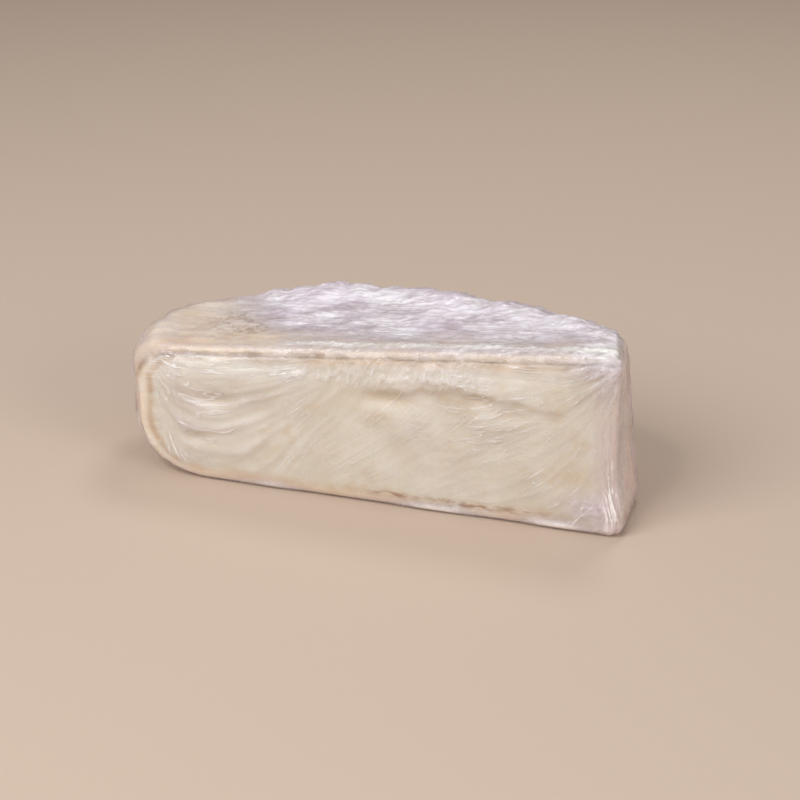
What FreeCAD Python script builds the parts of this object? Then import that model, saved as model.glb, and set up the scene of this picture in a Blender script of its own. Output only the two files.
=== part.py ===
import FreeCAD, Part

import math
import os

import Sketcher

# Piece of soft buffalo milk cheese, wrapped tightly in cling film.
#
# The piece is the end of a long, low cheese. Its front (-Y) and its right end (+X) are flat cuts. Its left
# end and its back are the cheese's own rim, with the rind's rounded upper and lower edges. The film clings
# to the cheese all over, so both have one outer shape. What is left of the film is gathered on the upper
# edge at the back, in a row of puckered lobes.
#
# Units are millimetres. +X runs along the long cut, +Y away from it and +Z up. The origin is the middle of
# the bounding box, at the flat underside.

PARTS_FOLDER = "parts"
NODE = "wrapped_cheese"

# how far each lobe stands out, as a share of LobeProud: least at the row's ends, more in between, and uneven
LOBE_LEAST = 0.25
LOBE_SWELL = 0.65
LOBE_LEAN = 1.7
LOBE_SWING = 0.12
LOBE_RHYTHM = 2.1

# alias, value, meaning: lengths in millimetres, angles in degrees
SIZES = [
    ("FaceLength", 180.0, "long cut, from the rim to the end cut"),
    ("EndLength", 34.0, "end cut, from the long cut to the rim"),
    ("EndFlare", 0.5, "angle by which the end cut opens outwards from square"),
    ("PieceDepth", 75.0, "from the long cut to the furthest point of the rim"),
    ("RimRadius", 200.0, "rim along the back"),
    ("ShoulderRadius", 44.0, "rim round the left end"),
    ("EndHeight", 67.5, "height at the end cut"),
    ("TopFall", 5.4, "angle by which the top falls towards the left end"),
    ("RimTopRound", 13.0, "upper edge of the rim"),
    ("RimFootRound", 22.0, "lower edge of the rim round the left end"),
    ("EndFootRound", 5.0, "the same edge where it meets the end cut, with film pulled across it"),
    ("CutRound", 3.5, "edges of the two cuts, under the tight film"),
    ("LobeProud", 3.2, "how far the largest puckered lobe of film stands out from the rim"),
    ("LobePitch", 12.0, "from one lobe to the next, along the rim"),
    ("LobeCount", 12.0, "puckered lobes"),
    ("CutSpare", 20.0, "how far the block for the top cut reaches past the piece"),
]


def make_sheet(doc):
    """Fill the spreadsheet, with an alias for each size."""
    sheet = doc.addObject("Spreadsheet::Sheet", "Sizes")
    for row, (alias, value, meaning) in enumerate(SIZES, start=1):
        sheet.set(f"A{row}", alias)
        sheet.set(f"B{row}", str(value))
        sheet.set(f"C{row}", meaning)
        sheet.setAlias(f"B{row}", alias)
    doc.recompute()
    return sheet


def origin_plane(body, role):
    """The body's own origin plane of that role."""
    for feature in body.Origin.OriginFeatures:
        if feature.Role == role:
            return feature
    raise RuntimeError(f"no plane {role}")


def add_sketch(body, name, role):
    """An empty sketch on one of the body's origin planes."""
    sketch = body.newObject("Sketcher::SketchObject", name)
    sketch.AttachmentSupport = [(origin_plane(body, role), "")]
    sketch.MapMode = "FlatFace"
    return sketch


def add_size(sketch, name, expression, *constraint):
    """A named constraint that is bound to the sheet."""
    index = sketch.addConstraint(Sketcher.Constraint(*constraint))
    sketch.renameConstraint(index, name)
    sketch.setExpression(f"Constraints.{name}", expression)


def rim_centres(sheet):
    """Centres of the two arcs that make the rim, and the ends of the two cuts, in plan.

    The back arc passes through the inner end of the end cut. The shoulder arc is tangent to the back arc and
    ends at the outer end of the long cut.
    """
    left = FreeCAD.Vector(-sheet.FaceLength / 2, 0, 0)
    right = FreeCAD.Vector(sheet.FaceLength / 2, 0, 0)
    flare = math.radians(sheet.EndFlare)
    inner = right + FreeCAD.Vector(math.sin(flare), math.cos(flare), 0) * sheet.EndLength
    back_y = sheet.PieceDepth - sheet.RimRadius
    back_x = inner.x - math.sqrt(sheet.RimRadius**2 - (inner.y - back_y) ** 2)
    back = FreeCAD.Vector(back_x, back_y, 0)
    # from the left end to the shoulder's centre is ShoulderRadius, and from the back's centre it is reach
    apart = left - back
    reach = sheet.RimRadius - sheet.ShoulderRadius
    along = (reach**2 - sheet.ShoulderRadius**2 + apart.Length**2) / (2 * apart.Length)
    aside = math.sqrt(reach**2 - along**2)
    forward = apart / apart.Length
    sideways = FreeCAD.Vector(forward.y, -forward.x, 0)
    shoulder = back + forward * along + sideways * aside
    return left, right, inner, back, shoulder


def angle_from(centre, point):
    """Direction from a centre to a point, in radians from 0 to a full turn."""
    return math.atan2(point.y - centre.y, point.x - centre.x) % (2 * math.pi)


def draw_plan(body, sheet):
    """Outline of the piece in plan: long cut, end cut, back arc, shoulder arc."""
    sketch = add_sketch(body, "PlanSketch", "XY_Plane")
    left, right, inner, back, shoulder = rim_centres(sheet)
    up = FreeCAD.Vector(0, 0, 1)
    touch = back + (shoulder - back) * (sheet.RimRadius / (sheet.RimRadius - sheet.ShoulderRadius))
    back_circle = Part.Circle(back, up, sheet.RimRadius)
    shoulder_circle = Part.Circle(shoulder, up, sheet.ShoulderRadius)
    sketch.addGeometry(
        [
            Part.LineSegment(left, right),
            Part.LineSegment(right, inner),
            Part.ArcOfCircle(back_circle, angle_from(back, inner), angle_from(back, touch)),
            Part.ArcOfCircle(shoulder_circle, angle_from(shoulder, touch), angle_from(shoulder, left)),
        ]
    )
    start, end, centre = 1, 2, 3
    sketch.addConstraint(Sketcher.Constraint("Coincident", 0, end, 1, start))
    sketch.addConstraint(Sketcher.Constraint("Coincident", 1, end, 2, start))
    sketch.addConstraint(Sketcher.Constraint("Tangent", 2, end, 3, start))
    sketch.addConstraint(Sketcher.Constraint("Coincident", 3, end, 0, start))
    sketch.addConstraint(Sketcher.Constraint("Horizontal", 0))
    sketch.addConstraint(Sketcher.Constraint("Symmetric", 0, start, 0, end, -1, 1))
    add_size(sketch, "Face", "Sizes.FaceLength", "Distance", 0, sheet.FaceLength)
    add_size(sketch, "End", "Sizes.EndLength", "Distance", 1, sheet.EndLength)
    square = math.pi / 2 - math.radians(sheet.EndFlare)
    add_size(sketch, "Flare", "90 - Sizes.EndFlare", "Angle", 1, square)
    add_size(sketch, "Rim", "Sizes.RimRadius", "Radius", 2, sheet.RimRadius)
    add_size(sketch, "Shoulder", "Sizes.ShoulderRadius", "Radius", 3, sheet.ShoulderRadius)
    depth = sheet.RimRadius - sheet.PieceDepth
    add_size(sketch, "Depth", "Sizes.RimRadius - Sizes.PieceDepth", "DistanceY", 2, centre, -1, 1, depth)
    return sketch


def draw_side(body, sheet):
    """Everything above the sloping top, seen from the front, as a closed outline."""
    sketch = add_sketch(body, "SideSketch", "XZ_Plane")
    half = sheet.FaceLength / 2
    reach = half + sheet.EndLength + sheet.CutSpare
    fall = math.tan(math.radians(sheet.TopFall))
    low_left = FreeCAD.Vector(-reach, sheet.EndHeight - (reach + half) * fall, 0)
    low_right = FreeCAD.Vector(reach, sheet.EndHeight + (reach - half) * fall, 0)
    high = sheet.EndHeight + sheet.EndLength + sheet.CutSpare
    high_right = FreeCAD.Vector(reach, high, 0)
    high_left = FreeCAD.Vector(-reach, high, 0)
    corners = [low_left, low_right, high_right, high_left]
    for number, corner in enumerate(corners):
        sketch.addGeometry(Part.LineSegment(corner, corners[(number + 1) % 4]))
    start, end = 1, 2
    for number in range(4):
        sketch.addConstraint(Sketcher.Constraint("Coincident", number, end, (number + 1) % 4, start))
    sketch.addConstraint(Sketcher.Constraint("Horizontal", 2))
    sketch.addConstraint(Sketcher.Constraint("Vertical", 1))
    sketch.addConstraint(Sketcher.Constraint("Vertical", 3))
    add_size(sketch, "Fall", "Sizes.TopFall", "Angle", 0, math.radians(sheet.TopFall))
    reach_formula = "Sizes.FaceLength / 2 + Sizes.EndLength + Sizes.CutSpare"
    add_size(sketch, "Right", reach_formula, "DistanceX", -1, 1, 1, end, reach)
    add_size(sketch, "Left", reach_formula, "DistanceX", 3, start, -1, 1, reach)
    high_formula = "Sizes.EndHeight + Sizes.EndLength + Sizes.CutSpare"
    add_size(sketch, "High", high_formula, "DistanceY", -1, 1, 2, start, high)
    # the top passes through the end cut's foot line at the height of the end cut
    mark = sketch.addGeometry(Part.Point(FreeCAD.Vector(half, sheet.EndHeight, 0)), True)
    sketch.addConstraint(Sketcher.Constraint("PointOnObject", mark, start, 0))
    add_size(sketch, "MarkX", "Sizes.FaceLength / 2", "DistanceX", -1, 1, mark, start, half)
    add_size(sketch, "MarkZ", "Sizes.EndHeight", "DistanceY", -1, 1, mark, start, sheet.EndHeight)
    return sketch


def add_block(body, plan):
    """The plan raised to a block that is taller than the piece."""
    block = body.newObject("PartDesign::Pad", "Block")
    block.Profile = plan
    block.setExpression("Length", "Sizes.EndHeight + Sizes.CutSpare")
    return block


def add_sloping_top(body, side):
    """Cut the block down to the sloping top, from the middle of the sketch both ways."""
    top = body.newObject("PartDesign::Pocket", "SlopingTop")
    top.Profile = side
    top.Type = "ThroughAll"
    top.SideType = "Symmetric"
    return top


def faces_facing(shape, direction):
    """The flat faces that look within 30 degrees of a direction."""
    found = []
    for face in shape.Faces:
        if not isinstance(face.Surface, Part.Plane):
            continue
        if face.normalAt(0, 0).dot(direction) > math.cos(math.radians(30)):
            found.append(face)
    return found


def round_faces(shape):
    """The faces that aren't flat."""
    return [face for face in shape.Faces if not isinstance(face.Surface, Part.Plane)]


def edge_numbers(shape, faces, others=None):
    """Numbers of the edges of some faces, or of those that they share with other faces."""
    numbers = []
    for number, edge in enumerate(shape.Edges, start=1):
        touches = any(edge.isSame(own) for face in faces for own in face.Edges)
        if others is not None:
            touches = touches and any(edge.isSame(own) for face in others for own in face.Edges)
        if touches:
            numbers.append(number)
    return numbers


def round_rim_top(body, top):
    """The rind's rounded upper edge, all along the rim."""
    fillet = body.newObject("PartDesign::Fillet", "RimTop")
    flat = faces_facing(top.Shape, FreeCAD.Vector(0, 0, 1))
    numbers = edge_numbers(top.Shape, flat, round_faces(top.Shape))
    fillet.Base = (top, [f"Edge{number}" for number in numbers])
    fillet.setExpression("Radius", "Sizes.RimTopRound")
    body.Document.recompute()
    return fillet


def round_rim_foot(doc, sheet, body):
    """The rind's rounded lower edge: one radius round the left end, less and less towards the end cut.

    A Part fillet keeps its radii in a list that takes no expression, so they are read from the sheet.
    """
    shape = body.Shape
    upright = [face for face in round_faces(shape) if isinstance(face.Surface, Part.Cylinder)]
    fillet = doc.addObject("Part::Fillet", "RimFoot")
    fillet.Base = body
    radii = []
    for number in edge_numbers(shape, faces_facing(shape, FreeCAD.Vector(0, 0, -1)), upright):
        edge = shape.Edges[number - 1]
        is_back = abs(edge.Curve.Radius - sheet.RimRadius) < abs(edge.Curve.Radius - sheet.ShoulderRadius)
        first = sheet.EndFootRound if is_back else sheet.RimFootRound
        radii.append((number, first, sheet.RimFootRound))
    fillet.Edges = radii
    doc.recompute()
    return fillet


def round_cuts(doc, sheet, rim):
    """The edges of the two cuts, which the tight film rounds."""
    shape = rim.Shape
    cuts = faces_facing(shape, FreeCAD.Vector(0, -1, 0)) + faces_facing(shape, FreeCAD.Vector(1, 0, 0))
    fillet = doc.addObject("Part::Fillet", "CutEdges")
    fillet.Base = rim
    fillet.Edges = [(number, sheet.CutRound, sheet.CutRound) for number in edge_numbers(shape, cuts)]
    doc.recompute()
    return fillet


def rim_line_point(sheet, distance):
    """Point of the line that the rim's top rounding is struck from, at a distance from the end cut.

    The line runs inside both arcs of the rim, below the sloping top.
    """
    inner, back, shoulder = rim_centres(sheet)[2:]
    back_radius = sheet.RimRadius - sheet.RimTopRound
    shoulder_radius = sheet.ShoulderRadius - sheet.RimTopRound
    start = angle_from(back, inner)
    turn = angle_from(back, shoulder) - start
    past = distance - turn * back_radius
    if past < 0:
        centre, radius, angle = back, back_radius, start + distance / back_radius
    else:
        centre, radius, angle = shoulder, shoulder_radius, start + turn + past / shoulder_radius
    x = centre.x + radius * math.cos(angle)
    y = centre.y + radius * math.sin(angle)
    fall = math.radians(sheet.TopFall)
    top = sheet.EndHeight + (x - sheet.FaceLength / 2) * math.tan(fall)
    return FreeCAD.Vector(x, y, top - sheet.RimTopRound / math.cos(fall))


def add_lobes(doc, sheet):
    """Gathered film along the upper edge at the back: lobes of uneven size, one beside the other."""
    lobes = []
    count = int(sheet.LobeCount)
    first = sheet.RimTopRound + sheet.LobeProud
    for number in range(1, count + 1):
        swell = math.sin(math.pi * (number / (count + 1)) ** LOBE_LEAN)
        share = LOBE_LEAST + LOBE_SWELL * swell + LOBE_SWING * math.sin(LOBE_RHYTHM * number)
        lobe = doc.addObject("Part::Sphere", f"Lobe{number}")
        lobe.setExpression("Radius", f"Sizes.RimTopRound + Sizes.LobeProud * {share:.3f}")
        lobe.Placement.Base = rim_line_point(sheet, first + (number - 1) * sheet.LobePitch)
        lobes.append(lobe)
    return lobes


def outer_box(shape):
    """The shape's own box; its BoundBox is too large where faces are curved."""
    return shape.optimalBoundingBox(False, False)


def add_whole(doc, cheese, film):
    """The one piece, with its origin moved to the middle of its underside."""
    whole = doc.addObject("Part::MultiFuse", "Whole")
    whole.Label = NODE
    whole.Shapes = [cheese] + film
    whole.Refine = True
    doc.recompute()
    box = outer_box(whole.Shape)
    whole.Placement.Base = FreeCAD.Vector(-box.Center.x, -box.Center.y, -box.ZMin)
    return whole


def check_objects(doc, block, top, node):
    """Stop on anything that failed without saying so."""
    for item in doc.Objects:
        if "Invalid" in item.State or "Error" in item.State:
            raise RuntimeError(f"{item.Label}: {item.State}")
    if top.Shape.Volume >= block.Shape.Volume:
        raise RuntimeError(f"{top.Label} cut nothing")
    if node.Shape.isNull() or not node.Shape.isValid() or len(node.Shape.Solids) != 1:
        raise RuntimeError(f"{node.Label} isn't one valid solid")


def main():
    doc = FreeCAD.newDocument("WrappedCheese")
    sheet = make_sheet(doc)
    body = doc.addObject("PartDesign::Body", "Cheese")
    body.Label = "cheese_body"
    plan = draw_plan(body, sheet)
    block = add_block(body, plan)
    side = draw_side(body, sheet)
    doc.recompute()
    top = add_sloping_top(body, side)
    doc.recompute()
    round_rim_top(body, top)
    rim = round_rim_foot(doc, sheet, body)
    cheese = round_cuts(doc, sheet, rim)
    whole = add_whole(doc, cheese, add_lobes(doc, sheet))
    doc.recompute()
    check_objects(doc, block, top, whole)
    os.makedirs(PARTS_FOLDER, exist_ok=True)
    whole.Shape.exportStep(os.path.join(PARTS_FOLDER, f"{whole.Label}.step"))
    print(f"{whole.Label}: {whole.Shape.Volume / 1000:.1f} cm3, {outer_box(whole.Shape)}")


main()
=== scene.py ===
import itertools
import math

import bpy
import numpy as np
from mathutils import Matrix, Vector
from mathutils.geometry import convex_hull_2d


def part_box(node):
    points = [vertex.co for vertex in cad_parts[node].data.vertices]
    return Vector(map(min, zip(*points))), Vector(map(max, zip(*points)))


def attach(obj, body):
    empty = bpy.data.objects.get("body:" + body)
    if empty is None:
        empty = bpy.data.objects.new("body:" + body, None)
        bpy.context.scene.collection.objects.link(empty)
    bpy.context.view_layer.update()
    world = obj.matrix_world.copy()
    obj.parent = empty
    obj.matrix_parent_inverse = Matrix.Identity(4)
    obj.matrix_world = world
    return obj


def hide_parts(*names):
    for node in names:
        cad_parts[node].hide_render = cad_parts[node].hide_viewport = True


# Piece of soft buffalo milk cheese in cling film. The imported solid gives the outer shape. Two meshes stand
# for it: the cheese, with its paste and rind, and the film around it, with its wrinkles and gathered folds.
# Lengths are millimetres until built() turns them into metres. Points are counted from the middle of the
# foot of the solid's box: x along the cut face, y from the cut face to the back, z up.

NODE = "wrapped_cheese"
MM = 0.001

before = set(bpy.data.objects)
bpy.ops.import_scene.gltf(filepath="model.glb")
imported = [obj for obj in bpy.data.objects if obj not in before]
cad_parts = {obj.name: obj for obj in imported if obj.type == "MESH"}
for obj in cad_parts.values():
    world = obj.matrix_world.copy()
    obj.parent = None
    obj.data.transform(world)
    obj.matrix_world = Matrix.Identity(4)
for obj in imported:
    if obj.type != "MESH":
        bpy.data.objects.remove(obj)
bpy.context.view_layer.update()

# ---------------------------------------------------------------- noise and masks

TABLE_SIZE = 256
GRADIENTS = np.random.default_rng(11).normal(size=(TABLE_SIZE, 3))
GRADIENTS /= np.linalg.norm(GRADIENTS, axis=1)[:, None]
ORDER = np.random.default_rng(12).permutation(TABLE_SIZE)
SEED_STEP = 37
NOISE_GAIN = 1.7
FACET_RATIO, FACET_SHARE = 1.9, 0.65
FOLD_EDGE = 1.6


def noise(points, seed=0):
    """Smooth noise at some points, from about -1 to 1, with features one unit apart."""
    cell = np.floor(points).astype(np.int64)
    part = points - cell
    fade = part**3 * (part * (part * 6 - 15) + 10)
    total = np.zeros(len(points))
    for corner in itertools.product((0, 1), repeat=3):
        corner = np.array(corner)
        key = cell + corner
        spot = ORDER[(key[:, 0] + SEED_STEP * seed) % TABLE_SIZE]
        spot = ORDER[(spot + key[:, 1]) % TABLE_SIZE]
        spot = ORDER[(spot + key[:, 2]) % TABLE_SIZE]
        weight = np.prod(np.where(corner, fade, 1 - fade), axis=1)
        total += weight * np.sum(GRADIENTS[spot] * (part - corner), axis=1)
    return total * NOISE_GAIN


def cloud(points, size, seed, octaves=3):
    """Noise with features of some size and, on top, finer and weaker ones."""
    total = np.zeros(len(points))
    for octave in range(octaves):
        total += noise(points / size * 2**octave, seed + octave) * 0.5**octave
    return total


def crumple(points, size, seed):
    """Sharp-edged facets, as in film that was squeezed, from 0 to about 1."""
    coarse = 1 - np.abs(noise(points / size, seed))
    fine = 1 - np.abs(noise(points / size * FACET_RATIO, seed + 1))
    return FACET_SHARE * coarse**2 + (1 - FACET_SHARE) * fine**2


def folds(across, along, width, length, seed, sharp=2.0):
    """Long narrow ridges, from 0 to 1. Width is across them, length along them, and sharp thins them."""
    flat = np.column_stack([across / width, along / length, np.zeros(len(across))])
    return np.clip(1 - FOLD_EDGE * np.abs(noise(flat, seed)), 0, 1) ** sharp


def ramp(value, low, high):
    """0 at low, 1 at high, smooth between. Low may be the larger of the two."""
    part = np.clip((value - low) / (high - low), 0, 1)
    return part * part * (3 - 2 * part)


def hill(value, centre, reach):
    """A smooth hill of height 1 about a centre, nearly 0 at twice its reach."""
    return np.exp(-(((value - centre) / reach) ** 2))


# ---------------------------------------------------------------- the solid's surface as a dense mesh

VOXEL = 0.8
SMOOTH_ROUNDS = 6


def dense_copy(name):
    """The CAD node's surface as an even mesh of small quads."""
    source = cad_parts[name]
    piece = bpy.data.objects.new(name + "_dense", source.data.copy())
    bpy.context.scene.collection.objects.link(piece)
    remesh = piece.modifiers.new("even", "REMESH")
    remesh.mode = "VOXEL"
    remesh.voxel_size = VOXEL * MM
    smooth = piece.modifiers.new("smooth", "SMOOTH")
    smooth.factor = 0.5
    smooth.iterations = SMOOTH_ROUNDS
    evaluated = piece.evaluated_get(bpy.context.evaluated_depsgraph_get())
    mesh = bpy.data.meshes.new_from_object(evaluated)
    bpy.data.objects.remove(piece)
    return mesh


def read_points(mesh, what):
    """A vector of each of a mesh's points, such as its place or its normal."""
    values = np.empty(len(mesh.vertices) * 3)
    mesh.vertices.foreach_get(what, values)
    return values.reshape(-1, 3)


box_low, box_high = (np.array(corner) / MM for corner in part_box(NODE))
ORIGIN = np.array([(box_low[0] + box_high[0]) / 2, (box_low[1] + box_high[1]) / 2, box_low[2]])
LEFT, FRONT = (box_low - ORIGIN)[:2]
RIGHT, HEIGHT = (box_high - ORIGIN)[[0, 2]]

DENSE = dense_copy(NODE)
POINTS = read_points(DENSE, "co") / MM - ORIGIN
LOBE_SHARE, LOBE_ROUNDS = 0.6, 40


def smoothed(points, share, rounds):
    """Each point drawn towards the middle of its neighbours, by its share, some rounds over."""
    ends = np.empty(len(DENSE.edges) * 2, np.int64)
    DENSE.edges.foreach_get("vertices", ends)
    first, second = ends.reshape(-1, 2).T
    count = np.bincount(ends, minlength=len(points))
    for _ in range(rounds):
        middle = np.empty_like(points)
        for axis in range(3):
            total = np.bincount(first, points[second, axis], len(points))
            total += np.bincount(second, points[first, axis], len(points))
            middle[:, axis] = total / count
        points = points + (middle - points) * share[:, None]
    return points


# The solid's lobes along the back's top edge are evened out, and the film's own folds take their place.
back_top = ramp(POINTS[:, 1], FRONT + 26, FRONT + 34) * ramp(POINTS[:, 2], HEIGHT * 0.5, HEIGHT * 0.62)
POINTS = smoothed(POINTS, LOBE_SHARE * back_top * ramp(POINTS[:, 0], RIGHT, RIGHT - 12), LOBE_ROUNDS)
DENSE.vertices.foreach_set("co", ((POINTS + ORIGIN) * MM).ravel())
DENSE.update()
NORMALS = read_points(DENSE, "normal")
X, Y, Z = POINTS.T
NX, NY, NZ = NORMALS.T


def built(name, points):
    """A new object with these points and the dense mesh's faces."""
    mesh = DENSE.copy()
    mesh.name = name
    mesh.vertices.foreach_set("co", ((points + ORIGIN) * MM).ravel())
    mesh.update()
    mesh.polygons.foreach_set("use_smooth", np.ones(len(mesh.polygons), bool))
    mesh.materials.clear()
    piece = bpy.data.objects.new(name, mesh)
    bpy.context.scene.collection.objects.link(piece)
    return piece


def add_value(piece, name, values):
    """A number for each point, which the materials read by name."""
    layer = piece.data.attributes.new(name, "FLOAT", "POINT")
    layer.data.foreach_set("value", np.asarray(values, np.float32))


def add_vector(piece, name, *values):
    """Three numbers for each point, which the materials read by name."""
    layer = piece.data.attributes.new(name, "FLOAT_VECTOR", "POINT")
    layer.data.foreach_set("vector", np.column_stack(values).astype(np.float32).ravel())


# ---------------------------------------------------------------- where things are on the piece

# BELOW is the depth under the sloping top and BEHIND the distance from the cut face. The other values say
# how much each point belongs to a side or an edge, from 0 to 1.
TOP_SLOPE, TOP_START = np.polyfit(X[NZ > 0.98], Z[NZ > 0.98], 1)
BELOW = TOP_START + TOP_SLOPE * X - Z
BEHIND = Y - FRONT
BACK_START, BACK_WHOLE = -74, -44

on_front = ramp(-NY, 0.6, 0.92) * ramp(BEHIND, 8, 4)
on_end = ramp(NX, 0.8, 0.95) * ramp(X, RIGHT - 12, RIGHT - 6)
on_top = ramp(NZ, 0.8, 0.97)
on_under = ramp(-NZ, 0.8, 0.97)
on_rim = np.clip(1 - on_front - on_end - on_top - on_under, 0, 1)
right_edge = ramp(X, RIGHT - 11, RIGHT - 3) * (1 - on_top) * (1 - on_under) * ramp(NZ, 0.5, 0.2)
back_side = ramp(BEHIND, 18, 30) * ramp(X, BACK_START, BACK_WHOLE) * ramp(X, RIGHT + 1, RIGHT - 8)
back_ridge = back_side * hill(np.maximum(NZ, 0.55), 0.55, 0.42) * ramp(BELOW, 26, 5)

FAR, UPRIGHT = 1000.0, 0.7


def outline_distance(across, up, chosen, outward):
    """How far a point is inside a flat face's outline, without the upright side by the other cut."""
    flat = [Vector((float(a), float(b))) for a, b in zip(across[chosen], up[chosen])]
    hull = [flat[i] for i in convex_hull_2d(flat)]
    nearest = np.full(len(across), FAR)
    for start, end in zip(hull, hull[1:] + hull[:1]):
        side = (end - start).normalized()
        if side.y * outward > UPRIGHT:
            continue
        inside = (up - start.y) * side.x - (across - start.x) * side.y
        nearest = np.minimum(nearest, inside)
    return nearest


front_flat = (NY < -0.97) & (BEHIND < 2)
end_flat = (NX > 0.95) & (X > RIGHT - 8)
past_end_round = np.clip(RIGHT - 1.5 - X, 0, None)
front_inside = outline_distance(X, Z, front_flat, 1) - BEHIND
end_inside = outline_distance(Y, Z, end_flat, -1) - past_end_round

# ---------------------------------------------------------------- directions that the film is pulled in

# Each direction gives every point a place across the folds and along them, in millimetres, and the strength
# of the pull there.

# The chains' two ends, how deep they stay evenly spaced, how long they are, and how they crowd to the left
HANG_LEFT, HANG_RIGHT = LEFT + 17, 4.0
HANG_BEND, HANG_SPAN, HANG_CROWDING = 16, 70, 0.55
# How much the leaning folds lean at the top edge, and how fast that grows below it
LEAN_START, LEAN_GROWTH = 0.3, 0.016
# Where the fan starts, how wide it opens, how much it bends and how far from its start
CORNER_X, CORNER_Z = RIGHT + 1, HEIGHT + 1
FAN_WIDTH, FAN_BEND, FAN_REACH = 42, 0.25, 60
# The middles that folds go round, and the radius at which they are measured
UNDER_X, UNDER_Y, UNDER_RADIUS = -6.0, 4.0, 30
END_MIDDLE, END_RADIUS = RIGHT - 40, 60
RIM_X, RIM_Y, RIM_RADIUS = 10, -160, 200
# How much the back's folds slant, from which depth on, and how much coarser they are than the others
RIM_SLANT, RIM_START, RIM_COARSENESS = 26.0, 6.0, 1.7
# The top's folds go on over the back's upper edge, up to this upward part of the normal
UPPER_TILT = 0.3

corner_away = np.hypot(CORNER_X - X, CORNER_Z - Z)
near_corner = ramp(corner_away, 30, 12) * ramp(-NY, 0.3, 0.8)


def hanging():
    """Folds that hang like chains from the top's left corner and its middle."""
    share = np.clip((X - HANG_LEFT) / (HANG_RIGHT - HANG_LEFT), 0.02, 0.98) ** HANG_CROWDING
    depth = np.clip(BELOW, 0, None) / (4 * share * (1 - share))
    across = HANG_BEND * np.log1p(depth / HANG_BEND)
    along = HANG_SPAN * share
    strength = on_front * ramp(X, LEFT + 5, LEFT + 18) * ramp(X, -6, -30) * ramp(Z, 2, 12)
    return across, along, strength


def leaning():
    """Folds that come straight down from the top edge and then lean to the left."""
    below = np.clip(BELOW, 0, None)
    across = X + LEAN_START * below + LEAN_GROWTH * below**2
    strength = on_front * ramp(X, -34, -10) * ramp(X, 70, 30) * ramp(Z, 3, 14)
    return across, BELOW, strength


def corner_fan():
    """Folds that spread from the top's right corner over the cut face."""
    turn = np.arctan2(CORNER_Z - Z, CORNER_X - X)
    bent = turn + FAN_BEND * np.clip(corner_away / FAN_REACH, 0, 1.4) ** 1.5
    beside_edge = np.maximum(ramp(X, RIGHT - 3, RIGHT - 12), near_corner)
    strength = on_front * ramp(corner_away, 110, 40) * beside_edge
    return bent * FAN_WIDTH, corner_away, strength


def straight_runs():
    """Folds along the top, down the right edge and end, slanting down the rim, and out under the piece."""
    wave = 2.2 * cloud(np.column_stack([X / 26, Y / 14, Z * 0]), 1, 5, 2)
    sway = 1.6 * cloud(POINTS, 24, 8, 2)
    around_rim = np.arctan2(X - RIM_X, Y - RIM_Y) * RIM_RADIUS
    slanted = around_rim + RIM_SLANT * np.log(np.clip(BELOW, RIM_START, None)) * back_side
    around_end = np.arctan2(Y, X - END_MIDDLE) * END_RADIUS
    around_foot = np.arctan2(Y - UNDER_Y, X - UNDER_X) * UNDER_RADIUS
    upper = (on_top > 0.5) | ((back_side > 0.5) & (NZ > UPPER_TILT))
    edge = (right_edge > 0.4) | (on_end > 0.5)
    rim = (on_rim > 0.5) & ~edge & ~upper
    across, along = np.zeros((2, len(X)))
    for chosen, new_across, new_along in (
        (upper, Y + 0.8 * BELOW + wave, X),
        (edge, around_end + sway, Z),
        (rim, (slanted + sway) / RIM_COARSENESS, Z / RIM_COARSENESS),
        (on_under > 0.5, around_foot, np.hypot(X - UNDER_X, Y - UNDER_Y)),
    ):
        across = np.where(chosen, new_across, across)
        along = np.where(chosen, new_along, along)
    # The folds fade where one of these directions turns into the next.
    left_seam = hill(X, (BACK_START + BACK_WHOLE) / 2, 4) * (NZ > 0.15) * (NZ < 0.95) * (BEHIND > 18)
    turning = np.clip(back_side * hill(NZ, UPPER_TILT, 0.12) + left_seam, 0, 1)
    sides = np.maximum.reduce([on_top, right_edge, on_end, on_rim, on_under])
    return across, along, np.clip(sides * 2 - 1, 0, 1) * (1 - turning) * (1 - near_corner)


hang_across, hang_along, hang = hanging()
lean_across, lean_along, lean = leaning()
fan_across, fan_along, fan = corner_fan()
run_across, run_along, run = straight_runs()
DIRECTIONS = {
    "hang": (hang_across, hang_along, hang),
    "lean": (lean_across, lean_along, lean),
    "fan": (fan_across, fan_along, fan),
    "run": (run_across, run_along, run),
}
clumps = ramp(cloud(POINTS, 20, 15, 2), -0.35, 0.45)

# ---------------------------------------------------------------- the cheese's own relief

DENTS = (
    # x, z, half width, half height, depth
    (-56, 34.5, 8.5, 2.6, 1.0),
    (-62, 18, 5.0, 2.2, 0.7),
    (12, 43, 10, 2.8, 1.1),
    (46, 47, 4.0, 2.2, 0.7),
    (57, 43, 5.0, 2.4, 0.8),
)
SWELLS = (
    # x, z, half width, half height, rise
    (-57, 27, 9.0, 4.5, 0.7),
    (52, 39, 7.0, 5.0, 0.8),
    (19, 35, 14, 6.0, 0.6),
    (-42, 43, 26, 6.0, 0.9),
)
LEDGE_Z, LEDGE_ARCH = 45.5, 4


def patch(place):
    """How near each point is to a spot, seen from the front: 1 in its middle."""
    x, z, half_width, half_height = place[:4]
    return hill(X, x, half_width) * hill(Z, z, half_height)


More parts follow.
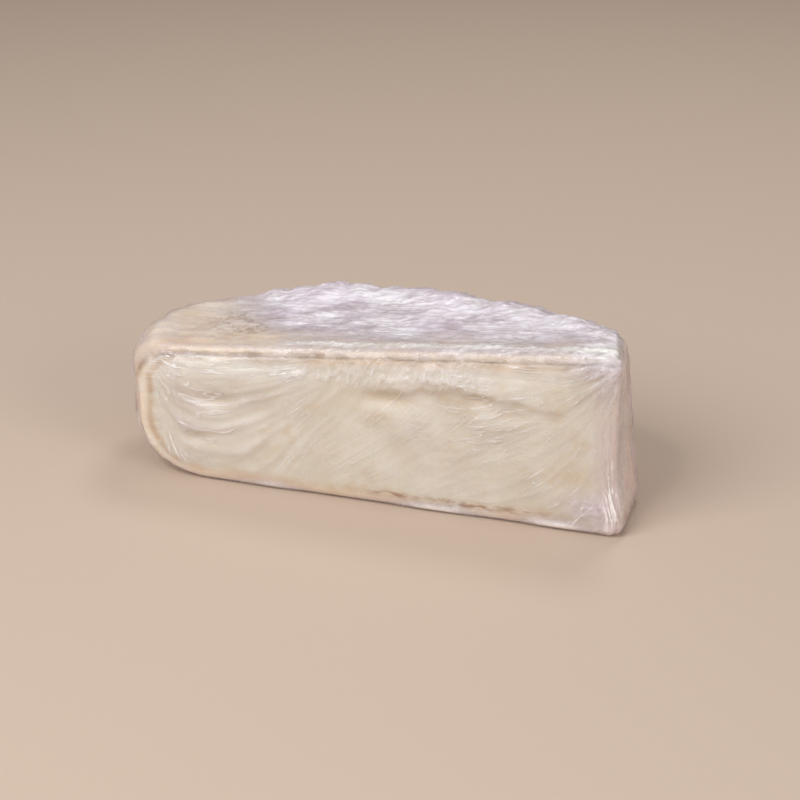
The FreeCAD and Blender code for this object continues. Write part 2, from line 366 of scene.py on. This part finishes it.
dented = sum(patch(dent) * dent[4] for dent in DENTS) * on_front
swollen = sum(patch(swell) * swell[4] for swell in SWELLS) * on_front
ledge_wave = 2.2 * cloud(np.column_stack([X, Y * 0, X * 0]), 11, 18, 2)
above_ledge = Z - (LEDGE_Z + LEDGE_ARCH * hill(X, 41, 20) + ledge_wave)
ledge_reach = on_front * ramp(X, 0, 18) * ramp(X, 84, 66)
ledge = ledge_reach * (ramp(above_ledge, -1.8, 1.6) - ramp(above_ledge, 1.6, 12))
ledge_shade = ledge_reach * hill(above_ledge, -1.6, 2.6) * ramp(cloud(POINTS, 13, 17, 2), -0.5, 0.5)
upper_lean = ramp(NX, 0.7, 0.4) * ramp(BEHIND, 9, 5) * ramp(BELOW, 13, -2) ** 1.3
left_shoulder = hill(X, LEFT + 6, 12) * hill(BELOW, 2, 9) * (1 - on_front)


def cheese_relief():
    """How far the cheese stands out from the solid, along the normal."""
    relief = 0.45 * cloud(POINTS, 34, 21, 3)
    relief += swollen - dented + 0.9 * ledge
    relief -= upper_lean * (1.5 + 1.0 * ramp(X, 0, -60)) * ramp(-NY, 0, 0.6)
    relief += 0.30 * on_top * cloud(POINTS, 9, 25, 3)
    relief += 0.20 * on_rim * cloud(POINTS, 14, 28, 3)
    relief += 1.5 * left_shoulder
    return relief


# ---------------------------------------------------------------- the film's wrinkles

LOW_STRIPS = (
    # x, z, half width, half height, strength
    (30, 2.2, 13, 1.7, 1.0),
    (76, 2.6, 10, 1.8, 1.0),
    (-34, 2.4, 12, 1.4, 0.6),
)
RIDGE_SWELLS = (
    # x, half width, rise
    (-31, 14, 1.3),
    (-6, 10, -1.0),
    (22, 10, 0.9),
    (36, 8, -0.9),
    (72, 8, 0.7),
)

# Where the film is gathered, crumpled or squeezed, from 0 to about 1.
ridge_line = on_top * hill(BEHIND, 7.5, 3.0) * ramp(X, -40, -16)
top_right = ramp(X + 0.9 * BEHIND, -34, 4)
corner_top = patch((RIGHT - 7, HEIGHT, 11, 7))
left_rim = on_rim * ramp(BEHIND, 24, 10) * ramp(X, LEFT + 16, LEFT + 5) * ramp(Z, 6, 18)
low_right = patch((86, 11, 9, 5)) * on_front
low_strips = sum(patch(strip) * strip[4] for strip in LOW_STRIPS) * ramp(-NY, 0.2, 0.6)
upper_band = on_front * hill(BELOW, 8.0, 3.2) * ramp(X, -34, -20) * ramp(X, 66, 30)
upper_line = on_front * hill(BELOW, 4.8, 1.6) * ramp(X, -30, -10)
edge_strip = np.clip(right_edge + on_end, 0, 1) * (1 - 0.7 * near_corner)
top_edge = hill(BEHIND, 2.5, 4.0) * hill(BELOW, 1.0, 3.5)
foot_gather = on_front * hill(Z, 3.0, 2.6)
ridge_swell = sum(rise * hill(X, x, half_width) for x, half_width, rise in RIDGE_SWELLS)
crumpled = ridge_line + back_ridge + corner_top + low_right + upper_band + upper_line + 0.7 * top_edge

STRANDS = (
    # Folds that hang from the left corner: place across, width, from, to, rise
    (11.5, 0.7, 4, 60, 0.30),
    (13.8, 0.6, 3, 58, 0.40),
    (15.2, 0.5, 3, 52, 0.35),
    (17.6, 0.8, 6, 60, 0.40),
    (20.5, 0.6, 10, 62, 0.30),
    (23.5, 0.9, 14, 62, 0.35),
    (26.5, 0.6, 16, 60, 0.25),
)


def strands():
    """Single strong folds among the hanging ones, and a crease that goes down beside the left rim."""
    wobble = hang_across + 0.8 * cloud(POINTS, 17, 41, 2)
    total = np.zeros(len(X))
    for across, width, start, end, rise in STRANDS:
        reach = ramp(hang_along, start, start + 8) * ramp(hang_along, end, end - 16)
        total += rise * hill(wobble, across, width) * reach
    pale_crease = 0.5 * on_front * hill(X - 1.5 * np.sin(Z / 9), LEFT + 27, 1.6) * ramp(Z, 6, 16)
    return total * hang + pale_crease


upper_run = np.maximum(on_top, back_ridge) * run
rim_run = on_rim * run
PULLED_FOLDS = (
    # Rise, where it shows, direction, then the folds' width, length, seed and sharpness
    (0.40, hang * clumps, "hang", 4.2, 46, 31, 3),
    (0.26, hang, "hang", 2.3, 30, 32, 2),
    (0.16, hang, "hang", 1.7, 24, 45, 2),
    (0.24, lean * clumps, "lean", 4.6, 34, 43, 3),
    (0.15, lean, "lean", 2.4, 24, 44, 2),
    (0.38, fan * clumps, "fan", 4.4, 42, 33, 3),
    (0.20, fan, "fan", 2.4, 28, 34, 2),
    (0.80, near_corner, "fan", 7.0, 60, 61, 1.5),
    (0.32, upper_run, "run", 5.0, 48, 35, 3),
    (0.28, upper_run, "run", 2.1, 32, 36, 2.5),
    (0.46, edge_strip, "run", 4.2, 60, 37, 2),
    (0.24, edge_strip, "run", 2.3, 34, 38, 2),
    (0.80, rim_run * clumps, "run", 5.4, 26, 39, 3),
    (0.22, rim_run, "run", 2.3, 14, 40, 2),
    (0.40, on_under, "run", 6.0, 30, 42, 2),
)


def pulled_wrinkles():
    """Wrinkles that the film presses into the soft cheese too."""
    total = strands()
    for rise, where, direction, width, length, seed, sharp in PULLED_FOLDS:
        across, along = DIRECTIONS[direction][:2]
        total += rise * where * folds(across, along, width, length, seed, sharp)
    return total


def loose_wrinkles():
    """Wrinkles of the film alone."""
    fine = crumple(POINTS, 3.2, 51)
    coarse = crumple(POINTS, 8.5, 53)
    ragged = folds(run_across, run_along, 3.4, 9, 56, 3)
    rise = 0.8 * ridge_line * (0.3 + fine)
    rise += back_ridge * (1.5 * coarse + 0.4 * fine + 0.9 * ragged * run) * ramp(BELOW, 30, 3)
    rise += corner_top * (0.35 * fine + 0.5 * fan * folds(fan_across, fan_along, 4.0, 30, 59))
    rise += 0.9 * low_right * crumple(POINTS * [1.0, 1.0, 2.2], 5.0, 55)
    rise += 0.95 * upper_band * ramp(fine, 0.35, 0.95)
    rise += 0.30 * upper_line * fine
    rise += 0.70 * top_edge * crumple(POINTS, 2.8, 57)
    rise += 0.60 * foot_gather * crumple(POINTS * [0.6, 1, 1.6], 4.0, 58)
    rise += back_ridge * ridge_swell
    rise += on_top * (0.12 * fine + 0.35 * top_right * crumple(POINTS, 6.5, 52))
    rise += 0.9 * low_strips + 0.5 * left_rim * coarse
    return rise


relief = cheese_relief()
pulled = pulled_wrinkles()
loose = loose_wrinkles()
foot = ramp(Z, 0.2, 5)

FILM_GAP = 0.3
CHEESE_SHARE, CHEESE_SUNK = 0.7, 0.15
CHEESE_LOWEST, FILM_LOWEST = 0.35, 0.02
END_LEAN, END_FOOT = 4.6, 3.4


def leaned(points):
    """The right end leans: its far top corner is drawn in and its foot spreads, as the film pulls it."""
    near_end = ramp(X, RIGHT - 34, RIGHT - 2)
    high = ramp(Z, HEIGHT * 0.3, HEIGHT * 1.1)
    points[:, 0] -= END_LEAN * near_end * high * ramp(BEHIND, 2, 30)
    points[:, 0] += END_FOOT * near_end**2 * ramp(Z, 30, 2) * ramp(Z, -6, 5)
    return points


def moved(distance, lowest):
    """The solid's points moved along their normals, and kept above the floor."""
    points = leaned(POINTS + NORMALS * distance[:, None])
    points[:, 2] = np.maximum(points[:, 2], lowest)
    return points


cheese_points = moved((relief + CHEESE_SHARE * pulled) * foot - CHEESE_SUNK, CHEESE_LOWEST)
film_points = moved((relief + pulled + loose) * foot + FILM_GAP, FILM_LOWEST)

# ---------------------------------------------------------------- where colours lie on the piece

STAINS = (
    # x, z, half width, half height
    (80, 22, 12, 4.5),
    (79, 12.5, 4.5, 2.6),
    (70, 7, 8, 2.0),
    (90, 57, 5, 5),
)
BROWN_STREAKS = (
    # x, z, half width, half height, strength
    (14, 5.2, 10, 1.1, 1.0),
    (40, 5.0, 13, 1.4, 1.0),
    (62, 5.6, 12, 1.3, 0.6),
)

# The rind covers all but the two cuts. It shows along their edges as a tan line, which lies further in at the
# cut face's left end and foot, and is darker along its top, partly as painted shade on the rounded top edge.
rind = np.clip(on_top + on_rim + on_under, 0, 1)
front_rind = ramp(front_inside + 1.2 * cloud(POINTS, 12, 61, 2), 2.4, 0.2)
band_middle = -1.2 + 4.0 * ramp(X, LEFT + 27, LEFT + 17) + 2.4 * ramp(Z, 14, 6)
band_half = 2.3 - 0.9 * ramp(X, LEFT + 27, LEFT + 17)
band = hill(front_inside + 0.9 * cloud(POINTS, 10, 62, 2), band_middle, band_half) * ramp(-NY, 0.0, 0.4)
band *= 1 - 0.5 * ramp(Z, 12, 2)
# Olive on the rounded top edge: partly the rind's own colour, partly painted shade that darkens the lit edge.
top_band_and_shade = hill(front_inside + 0.8 * cloud(POINTS, 10, 62, 2), -2.6, 3.4) * ramp(BELOW, 14, 7)
top_band_and_shade *= ramp(-NY, 0.05, 0.35)
end_band = hill(end_inside + 0.9 * cloud(POINTS, 10, 63, 2), 2.4, 2.0) * ramp(NX, 0.2, 0.6)
stains = 0.45 * on_front * sum(patch(stain) for stain in STAINS)
browned = sum(patch(streak) * streak[4] for streak in BROWN_STREAKS) * ramp(-NY, 0.5, 0.9)
# Painted shade: the warm colour in the dents and in the hollow under the ledge's overhang.
painted_hollow_shade = np.clip(dented + 0.8 * ledge_shade, 0, 1.3)
mottled = hill(X, -51, 17) * hill(Y, -8, 15) * on_top
peach = hill(X, -75, 12) * hill(BEHIND, 6, 9) * ramp(NZ, 0.2, 0.6)

# How thick the film's white haze is: a thin haze all over, and more where many layers lie together. Part of
# it is painted highlight: on the cut face's upper band, at its upper left and along the left rim.
veil_and_highlight = 0.03 + 0.03 * hang + 0.03 * fan
veil_and_highlight += 0.42 * on_top * top_right * ramp(BEHIND, 8, 18)
veil_and_highlight += 0.03 * on_top
veil_and_highlight += 0.34 * ridge_line + 0.24 * back_ridge * top_right * ramp(BELOW, 12, 2) + 0.22 * corner_top
veil_and_highlight += 0.30 * edge_strip + 0.30 * low_right + 0.18 * upper_band
veil_and_highlight += 0.08 * on_rim + 0.08 * on_under
# Painted highlight: whiter haze and tint over the cut face's upper left.
painted_highlight_patch = on_front * patch((-52, 49, 24, 6.0))
veil_and_highlight += 0.80 * low_strips + 0.34 * painted_highlight_patch
# Painted highlight: patchy white haze along the left rim.
veil_and_highlight += 0.35 * left_rim * ramp(cloud(POINTS, 9, 73, 2), -0.1, 0.5)

# How much of each direction's fine streaks is left: less on the rim, the end and the top's clear left part.
clear_top = on_top * (1 - top_right)
run_streaks = np.clip(1 - 0.75 * (on_rim + on_end) - 0.42 * on_top - 0.23 * clear_top, 0, 1)
STREAKS = {"hang": 1, "lean": 1, "fan": 1, "run": run_streaks}


def give_directions(piece):
    """The film's directions, for the materials' fine streaks."""
    for name, share in STREAKS.items():
        across, along, strength = DIRECTIONS[name]
        add_vector(piece, name, across, along, strength * share)


# ---------------------------------------------------------------- materials


def srgb(red, green, blue):
    """A colour given as it looks, 0 to 255, in the form that the nodes take."""

    def linear(value):
        value /= 255
        return value / 12.92 if value <= 0.04045 else ((value + 0.055) / 1.055) ** 2.4

    return linear(red), linear(green), linear(blue), 1.0


class Recipe:
    """A material and short ways to add nodes to it. Each way gives back the new node's output."""

    def __init__(self, name):
        self.material = bpy.data.materials.new(name)
        self.material.use_nodes = True
        self.tree = self.material.node_tree
        self.shader = self.tree.nodes["Principled BSDF"]

    def node(self, kind, **settings):
        """The new node itself."""
        made = self.tree.nodes.new(kind)
        for key, value in settings.items():
            setattr(made, key, value)
        return made

    def put(self, socket, value):
        """Link an output to an input, or set the input's own value."""
        if isinstance(value, bpy.types.NodeSocket):
            self.tree.links.new(value, socket)
        else:
            socket.default_value = value

    def maths(self, operation, *values, clamp=False):
        """Numbers or outputs put through one operation."""
        made = self.node("ShaderNodeMath", operation=operation, use_clamp=clamp)
        for socket, value in zip(made.inputs, values):
            self.put(socket, value)
        return made.outputs[0]

    def number(self, name):
        """A number that each point of the mesh holds."""
        return self.node("ShaderNodeAttribute", attribute_name=name).outputs["Fac"]

    def place(self):
        """The point's place on the object, in metres."""
        return self.node("ShaderNodeTexCoord").outputs["Object"]

    def stretched(self, name, across, along):
        """One of the film's directions as a texture place, and how strong the film's pull is there."""
        source = self.node("ShaderNodeAttribute", attribute_name=name)
        parts = self.node("ShaderNodeSeparateXYZ")
        self.put(parts.inputs[0], source.outputs["Vector"])
        joined = self.node("ShaderNodeCombineXYZ")
        self.put(joined.inputs[0], self.maths("DIVIDE", parts.outputs[0], across))
        self.put(joined.inputs[1], self.maths("DIVIDE", parts.outputs[1], along))
        return joined.outputs[0], parts.outputs[2]

    def speckle(self, place, scale, detail=3.0, roughness=0.55):
        """Noise from 0 to 1, with features of one part in scale."""
        made = self.node("ShaderNodeTexNoise")
        self.put(made.inputs["Vector"], place)
        made.inputs["Scale"].default_value = scale
        made.inputs["Detail"].default_value = detail
        made.inputs["Roughness"].default_value = roughness
        return made.outputs["Fac"]

    def between(self, value, low, high, to_low=0.0, to_high=1.0):
        """A value that goes smoothly from to_low at low to to_high at high."""
        made = self.node("ShaderNodeMapRange", interpolation_type="SMOOTHSTEP")
        for socket, number in zip(made.inputs, (value, low, high, to_low, to_high)):
            self.put(socket, number)
        return made.outputs[0]

    def blend(self, share, first, second):
        """Two colours mixed."""
        made = self.node("ShaderNodeMix", data_type="RGBA")
        self.put(made.inputs["Factor"], share)
        self.put(made.inputs[6], first)
        self.put(made.inputs[7], second)
        return made.outputs[2]

    def raised(self, height, distance, strength=1.0, under=None):
        """Fine relief, its distance in metres, over the relief under it."""
        made = self.node("ShaderNodeBump")
        made.inputs["Strength"].default_value = strength
        made.inputs["Distance"].default_value = distance
        self.put(made.inputs["Height"], height)
        if under is not None:
            self.put(made.inputs["Normal"], under)
        return made.outputs[0]

    def set(self, **values):
        """The shader's own inputs, by name."""
        for key, value in values.items():
            self.put(self.shader.inputs[key.replace("_", " ")], value)


LINES = (
    # Direction, millimetres across and along, then thickness and strength from 0 to 1
    ("hang", 2.2, 30.0, 0.03, 1.0),
    ("fan", 2.2, 26.0, 0.03, 1.0),
    ("run", 1.7, 28.0, 0.045, 1.0),
    ("run", 1.0, 16.0, 0.06, 1.0),
    ("lean", 2.4, 24.0, 0.03, 0.5),
)


def thin_lines(recipe, name, across, along, thick):
    """Thin bright lines along one of the film's directions, 0 to 1."""
    place, strength = recipe.stretched(name, across, along)
    grain = recipe.speckle(place, 1.0, detail=2.0)
    off_middle = recipe.maths("ABSOLUTE", recipe.maths("SUBTRACT", grain, 0.5))
    line = recipe.between(off_middle, thick, 0.0)
    return recipe.maths("MULTIPLY", line, strength)


def film_lines(recipe):
    """All the thin lines together, in patches."""
    total = 0.0
    for name, across, along, thick, strength in LINES:
        line = recipe.maths("MULTIPLY", thin_lines(recipe, name, across, along, thick), strength)
        total = recipe.maths("MAXIMUM", total, line)
    patches = recipe.between(recipe.speckle(recipe.place(), 60.0, detail=2.0), 0.38, 0.62, 0.15, 1.0)
    return recipe.maths("MULTIPLY", total, patches)


PASTE = srgb(220, 212, 193)
PASTE_WARM = srgb(216, 203, 179)
PASTE_PALE = srgb(229, 223, 209)
RIND_BEIGE = srgb(234, 214, 186)
RIND_BROWN = srgb(172, 144, 112)
RIND_BLOOM = srgb(238, 228, 212)
TAN = srgb(201, 173, 135)
OLIVE = srgb(156, 132, 92)
# Used for the real stains and for the painted shade in the hollows.
STAIN_AND_SHADE_ORANGE = srgb(203, 172, 132)
PEACH = srgb(226, 196, 166)
BROWN = srgb(158, 116, 78)


def cheese_material():
    """Ivory paste with painted warm shade in its dents and under the ledge, a tan line under the rind, darker
    along the top edge partly as painted shade, and mottled beige rind, whose tan is painted lighter on the
    shaded back.
    """
    recipe = Recipe("cheese_paste_and_rind")
    place = recipe.place()
    soft = recipe.speckle(place, 55.0, detail=4.0)
    paste = recipe.blend(recipe.between(soft, 0.35, 0.7), PASTE, PASTE_PALE)
    paste = recipe.blend(recipe.between(recipe.speckle(place, 90.0), 0.52, 0.75), paste, PASTE_WARM)
    spots = recipe.speckle(place, 330.0, detail=4.0, roughness=0.65)
    rind_colour = recipe.blend(recipe.between(soft, 0.3, 0.7), RIND_BEIGE, RIND_BLOOM)
    spotted = recipe.maths("MULTIPLY", recipe.between(spots, 0.46, 0.56), recipe.number("mottled"))
    rind_colour = recipe.blend(spotted, rind_colour, RIND_BROWN)
    rind_colour = recipe.blend(recipe.maths("MULTIPLY", recipe.number("peach"), 0.6), rind_colour, PEACH)
    # The rim's own tan. It is weaker on the back, painted lighter there because that side lies in shade.
    rind_colour = recipe.blend(recipe.maths("MULTIPLY", recipe.number("rim"), 0.45), rind_colour, TAN)
    colour = recipe.blend(recipe.number("rind"), paste, rind_colour)
    broken = recipe.between(recipe.speckle(place, 130.0, detail=3.0), 0.3, 0.6, 0.45, 1.0)
    colour = recipe.blend(recipe.maths("MULTIPLY", recipe.number("band"), broken), colour, TAN)
    # Olive top band: partly rind colour, partly painted shade.
    colour = recipe.blend(recipe.maths("MULTIPLY", recipe.number("top_band_and_shade"), broken), colour, OLIVE)
    # Painted shade, warm, in the dents and under the ledge.
    colour = recipe.blend(recipe.maths("MULTIPLY", recipe.number("painted_hollow_shade"), 0.3), colour, STAIN_AND_SHADE_ORANGE)
    colour = recipe.blend(recipe.maths("MULTIPLY", recipe.number("stain"), broken), colour, STAIN_AND_SHADE_ORANGE)
    torn_place, browned_here = recipe.stretched("browned", 1.0, 1.0)
    torn = recipe.between(recipe.speckle(torn_place, 1.0, detail=3.0), 0.40, 0.62)
    colour = recipe.blend(recipe.maths("MULTIPLY", browned_here, torn), colour, BROWN)
    bumps = recipe.raised(recipe.speckle(place, 700.0, detail=3.0), 0.0002, 0.5)
    lines = recipe.raised(film_lines(recipe), 0.00008, 0.7, bumps)
    recipe.set(Base_Color=colour, Normal=bumps, Coat_Normal=lines)
    recipe.set(Roughness=recipe.between(spots, 0.3, 0.7, 0.42, 0.6))
    recipe.set(Coat_Weight=0.6, Coat_Roughness=0.2, Coat_IOR=1.45)
    recipe.set(Subsurface_Weight=0.35, Subsurface_Scale=0.006, Subsurface_Radius=(1.0, 0.75, 0.5))
    return recipe.material


FILM_WHITE = srgb(239, 232, 241)
FILM_LAVENDER = srgb(226, 211, 226)
FILM_PINK = srgb(233, 209, 211)
FILM_BRIGHT = srgb(250, 247, 244)


def film_material():
    """Clear film: a thin lavender-white haze, whiter along its creases, and a hard gloss. Whiter haze and
    tint also stand in for painted highlights on the cut face's upper band, at its upper left and along the
    left rim.
    """
    recipe = Recipe("cling_film")
    place = recipe.place()
    drift = recipe.speckle(place, 85.0, detail=4.0)
    lines = film_lines(recipe)
    haze = recipe.maths("MULTIPLY", recipe.number("veil_and_highlight"), recipe.between(drift, 0.3, 0.7, 0.7, 1.3))
    creased = recipe.maths("MULTIPLY", recipe.number("crease"), 0.22)
    haze = recipe.maths("ADD", haze, creased)
    haze = recipe.maths("ADD", haze, recipe.maths("MULTIPLY", lines, 0.5))
    edge = recipe.node("ShaderNodeFresnel")
    edge.inputs["IOR"].default_value = 1.45
    haze = recipe.maths("ADD", haze, recipe.maths("MULTIPLY", edge.outputs[0], 0.3), clamp=True)
    crinkle = recipe.speckle(place, 480.0, detail=3.0, roughness=0.6)
    squeezed = recipe.between(recipe.number("crumpled"), 0.0, 1.0, 0.25, 1.6)
    bumps = recipe.raised(recipe.maths("MULTIPLY", crinkle, squeezed), 0.0005, 0.6)
    bumps = recipe.raised(lines, 0.00012, 1.0, bumps)
    tint = recipe.blend(recipe.between(drift, 0.3, 0.7), FILM_LAVENDER, FILM_WHITE)
    tint = recipe.blend(recipe.number("pink"), tint, FILM_PINK)
    # Whiter tint where the film gathers, and painted highlights on the cut face's upper band and upper left.
    tint = recipe.blend(recipe.maths("MAXIMUM", lines, recipe.number("film_white_and_highlight")), tint, FILM_BRIGHT)
    recipe.set(Base_Color=tint, Normal=bumps, Alpha=haze)
    recipe.set(Roughness=recipe.between(drift, 0.3, 0.7, 0.18, 0.34))
    recipe.set(IOR=1.5, Coat_Weight=0.7, Coat_Roughness=0.07)
    return recipe.material


# ---------------------------------------------------------------- the two pieces


def make_cheese():
    """The cheese, with the places of its colours."""
    piece = built("cheese_body", cheese_points)
    give_directions(piece)
    add_value(piece, "rind", np.maximum(rind * (1 - on_front), front_rind))
    add_value(piece, "band", np.maximum(band, end_band))
    add_value(piece, "painted_hollow_shade", painted_hollow_shade)
    add_value(piece, "stain", stains)
    add_vector(piece, "browned", X / 5.0, Z / 1.3 + 0.6 * cloud(POINTS, 6, 71, 2), browned)
    add_value(piece, "top_band_and_shade", top_band_and_shade)
    # Painted light: the rim's tan is halved on the back, which lies in shade, so it reads lighter.
    add_value(piece, "rim", on_rim * (1 - on_front) * (1 - 0.5 * back_side))
    add_value(piece, "mottled", mottled)
    add_value(piece, "peach", peach)
    piece.data.materials.append(cheese_material())
    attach(piece, "root")
    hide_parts(NODE)


def make_film():
    """The film around the cheese, with the places where it is hazy, creased or pink, and where highlights are
    painted into its haze and tint.
    """
    piece = built("cling_film", film_points)
    give_directions(piece)
    add_value(piece, "veil_and_highlight", veil_and_highlight)
    add_value(piece, "crease", np.clip(pulled + loose, 0, 1.4) ** 1.5)
    add_value(piece, "crumpled", np.clip(crumpled, 0, 1))
    add_value(piece, "pink", 0.8 * edge_strip)
    # Whiter where the film gathers or crumples. On the upper band and the cut face's upper left it is painted
    # highlight.
    white_and_highlight = ridge_line + 0.6 * upper_band + 0.4 * corner_top + low_strips + painted_highlight_patch
    add_value(piece, "film_white_and_highlight", np.clip(white_and_highlight, 0, 1))
    piece.data.materials.append(film_material())
    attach(piece, "root")
    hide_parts(NODE)


# ---------------------------------------------------------------- floor, light and camera

FLOOR = srgb(200, 180, 163)


def make_floor():
    """A sheet that lies flat in front and rises behind, in one plain colour."""
    wide, near, far, tall, bend, steps = 6.0, -2.5, 1.6, 3.0, 0.8, 12
    profile = [(near, 0.0), (far, 0.0)]
    for step in range(1, steps + 1):
        turn = math.radians(90 * step / steps)
        profile.append((far + bend * math.sin(turn), bend * (1 - math.cos(turn))))
    profile.append((far + bend, tall))
    verts = [(side * wide / 2, y, z) for y, z in profile for side in (-1, 1)]
    faces = [(2 * i, 2 * i + 1, 2 * i + 3, 2 * i + 2) for i in range(len(profile) - 1)]
    mesh = bpy.data.meshes.new("floor")
    mesh.from_pydata(verts, [], faces)
    mesh.polygons.foreach_set("use_smooth", np.ones(len(mesh.polygons), bool))
    floor = bpy.data.objects.new("floor", mesh)
    bpy.context.scene.collection.objects.link(floor)
    recipe = Recipe("floor_paper")
    grain = recipe.speckle(recipe.place(), 900.0)
    recipe.set(Base_Color=FLOOR, Roughness=0.9, Normal=recipe.raised(grain, 0.0002, 0.2))
    floor.data.materials.append(recipe.material)


# The camera looks at TARGET, in millimetres on the piece, from CAMERA_AWAY millimetres.
TARGET = np.array([8.4, -10.2, 30.0])
CAMERA_TURN, CAMERA_RISE, CAMERA_AWAY = 17.3, 24.0, 637.5
LENS, SENSOR = 76.5, 36.0


def direction(turn, rise):
    """The unit vector towards a place: turn degrees from the front to the right, rise above level."""
    turn, rise = math.radians(turn), math.radians(rise)
    return np.array([math.sin(turn) * math.cos(rise), -math.cos(turn) * math.cos(rise), math.sin(rise)])


def aim(thing, place, target):
    """Put a camera or lamp at a place and point it at the target."""
    thing.location = place
    thing.rotation_euler = (Vector(target) - Vector(place)).to_track_quat("-Z", "Y").to_euler()


def make_camera():
    """The scene's camera, a little to the right of the cut face and above it."""
    camera = bpy.data.objects.new("camera", bpy.data.cameras.new("camera"))
    camera.data.lens = LENS
    camera.data.sensor_width = SENSOR
    target = (TARGET + ORIGIN) * MM
    aim(camera, target + direction(CAMERA_TURN, CAMERA_RISE) * CAMERA_AWAY * MM, target)
    bpy.context.scene.collection.objects.link(camera)
    bpy.context.scene.camera = camera


WHITE, COOL, WARM = (1, 1, 1), (0.96, 0.97, 1.0), (1, 0.99, 0.98)
WORLD_STRENGTH = 0.40
LAMPS = (
    # Name, turn and rise as the camera's, metres away, size in metres, watts, colour
    ("key", -28, 38, 1.3, 0.9, 10.4, WHITE),
    ("overhead", 170, 60, 1.2, 0.4, 2.7, COOL),
    ("glint", -12, 52, 1.3, 0.14, 1.2, WHITE),
    ("fill", 62, 22, 1.6, 0.8, 7.5, WHITE),
)


def add_lamp(name, turn, rise, away, size, watts, colour):
    data = bpy.data.lights.new(name, "AREA")
    data.shape = "DISK"
    data.size = size
    data.energy = watts
    data.color = colour
    lamp = bpy.data.objects.new(name, data)
    target = (TARGET + ORIGIN) * MM
    aim(lamp, target + direction(turn, rise) * away, target)
    bpy.context.scene.collection.objects.link(lamp)


def make_light():
    """Soft lamps, a pale world and plain colour management."""
    for lamp in LAMPS:
        add_lamp(*lamp)
    world = bpy.data.worlds.new("world")
    world.use_nodes = True
    background = world.node_tree.nodes["Background"]
    background.inputs["Color"].default_value = (*WARM, 1)
    background.inputs["Strength"].default_value = WORLD_STRENGTH
    bpy.context.scene.world = world
    bpy.context.scene.view_settings.view_transform = "Standard"


make_camera()
make_cheese()
make_film()
make_floor()
make_light()
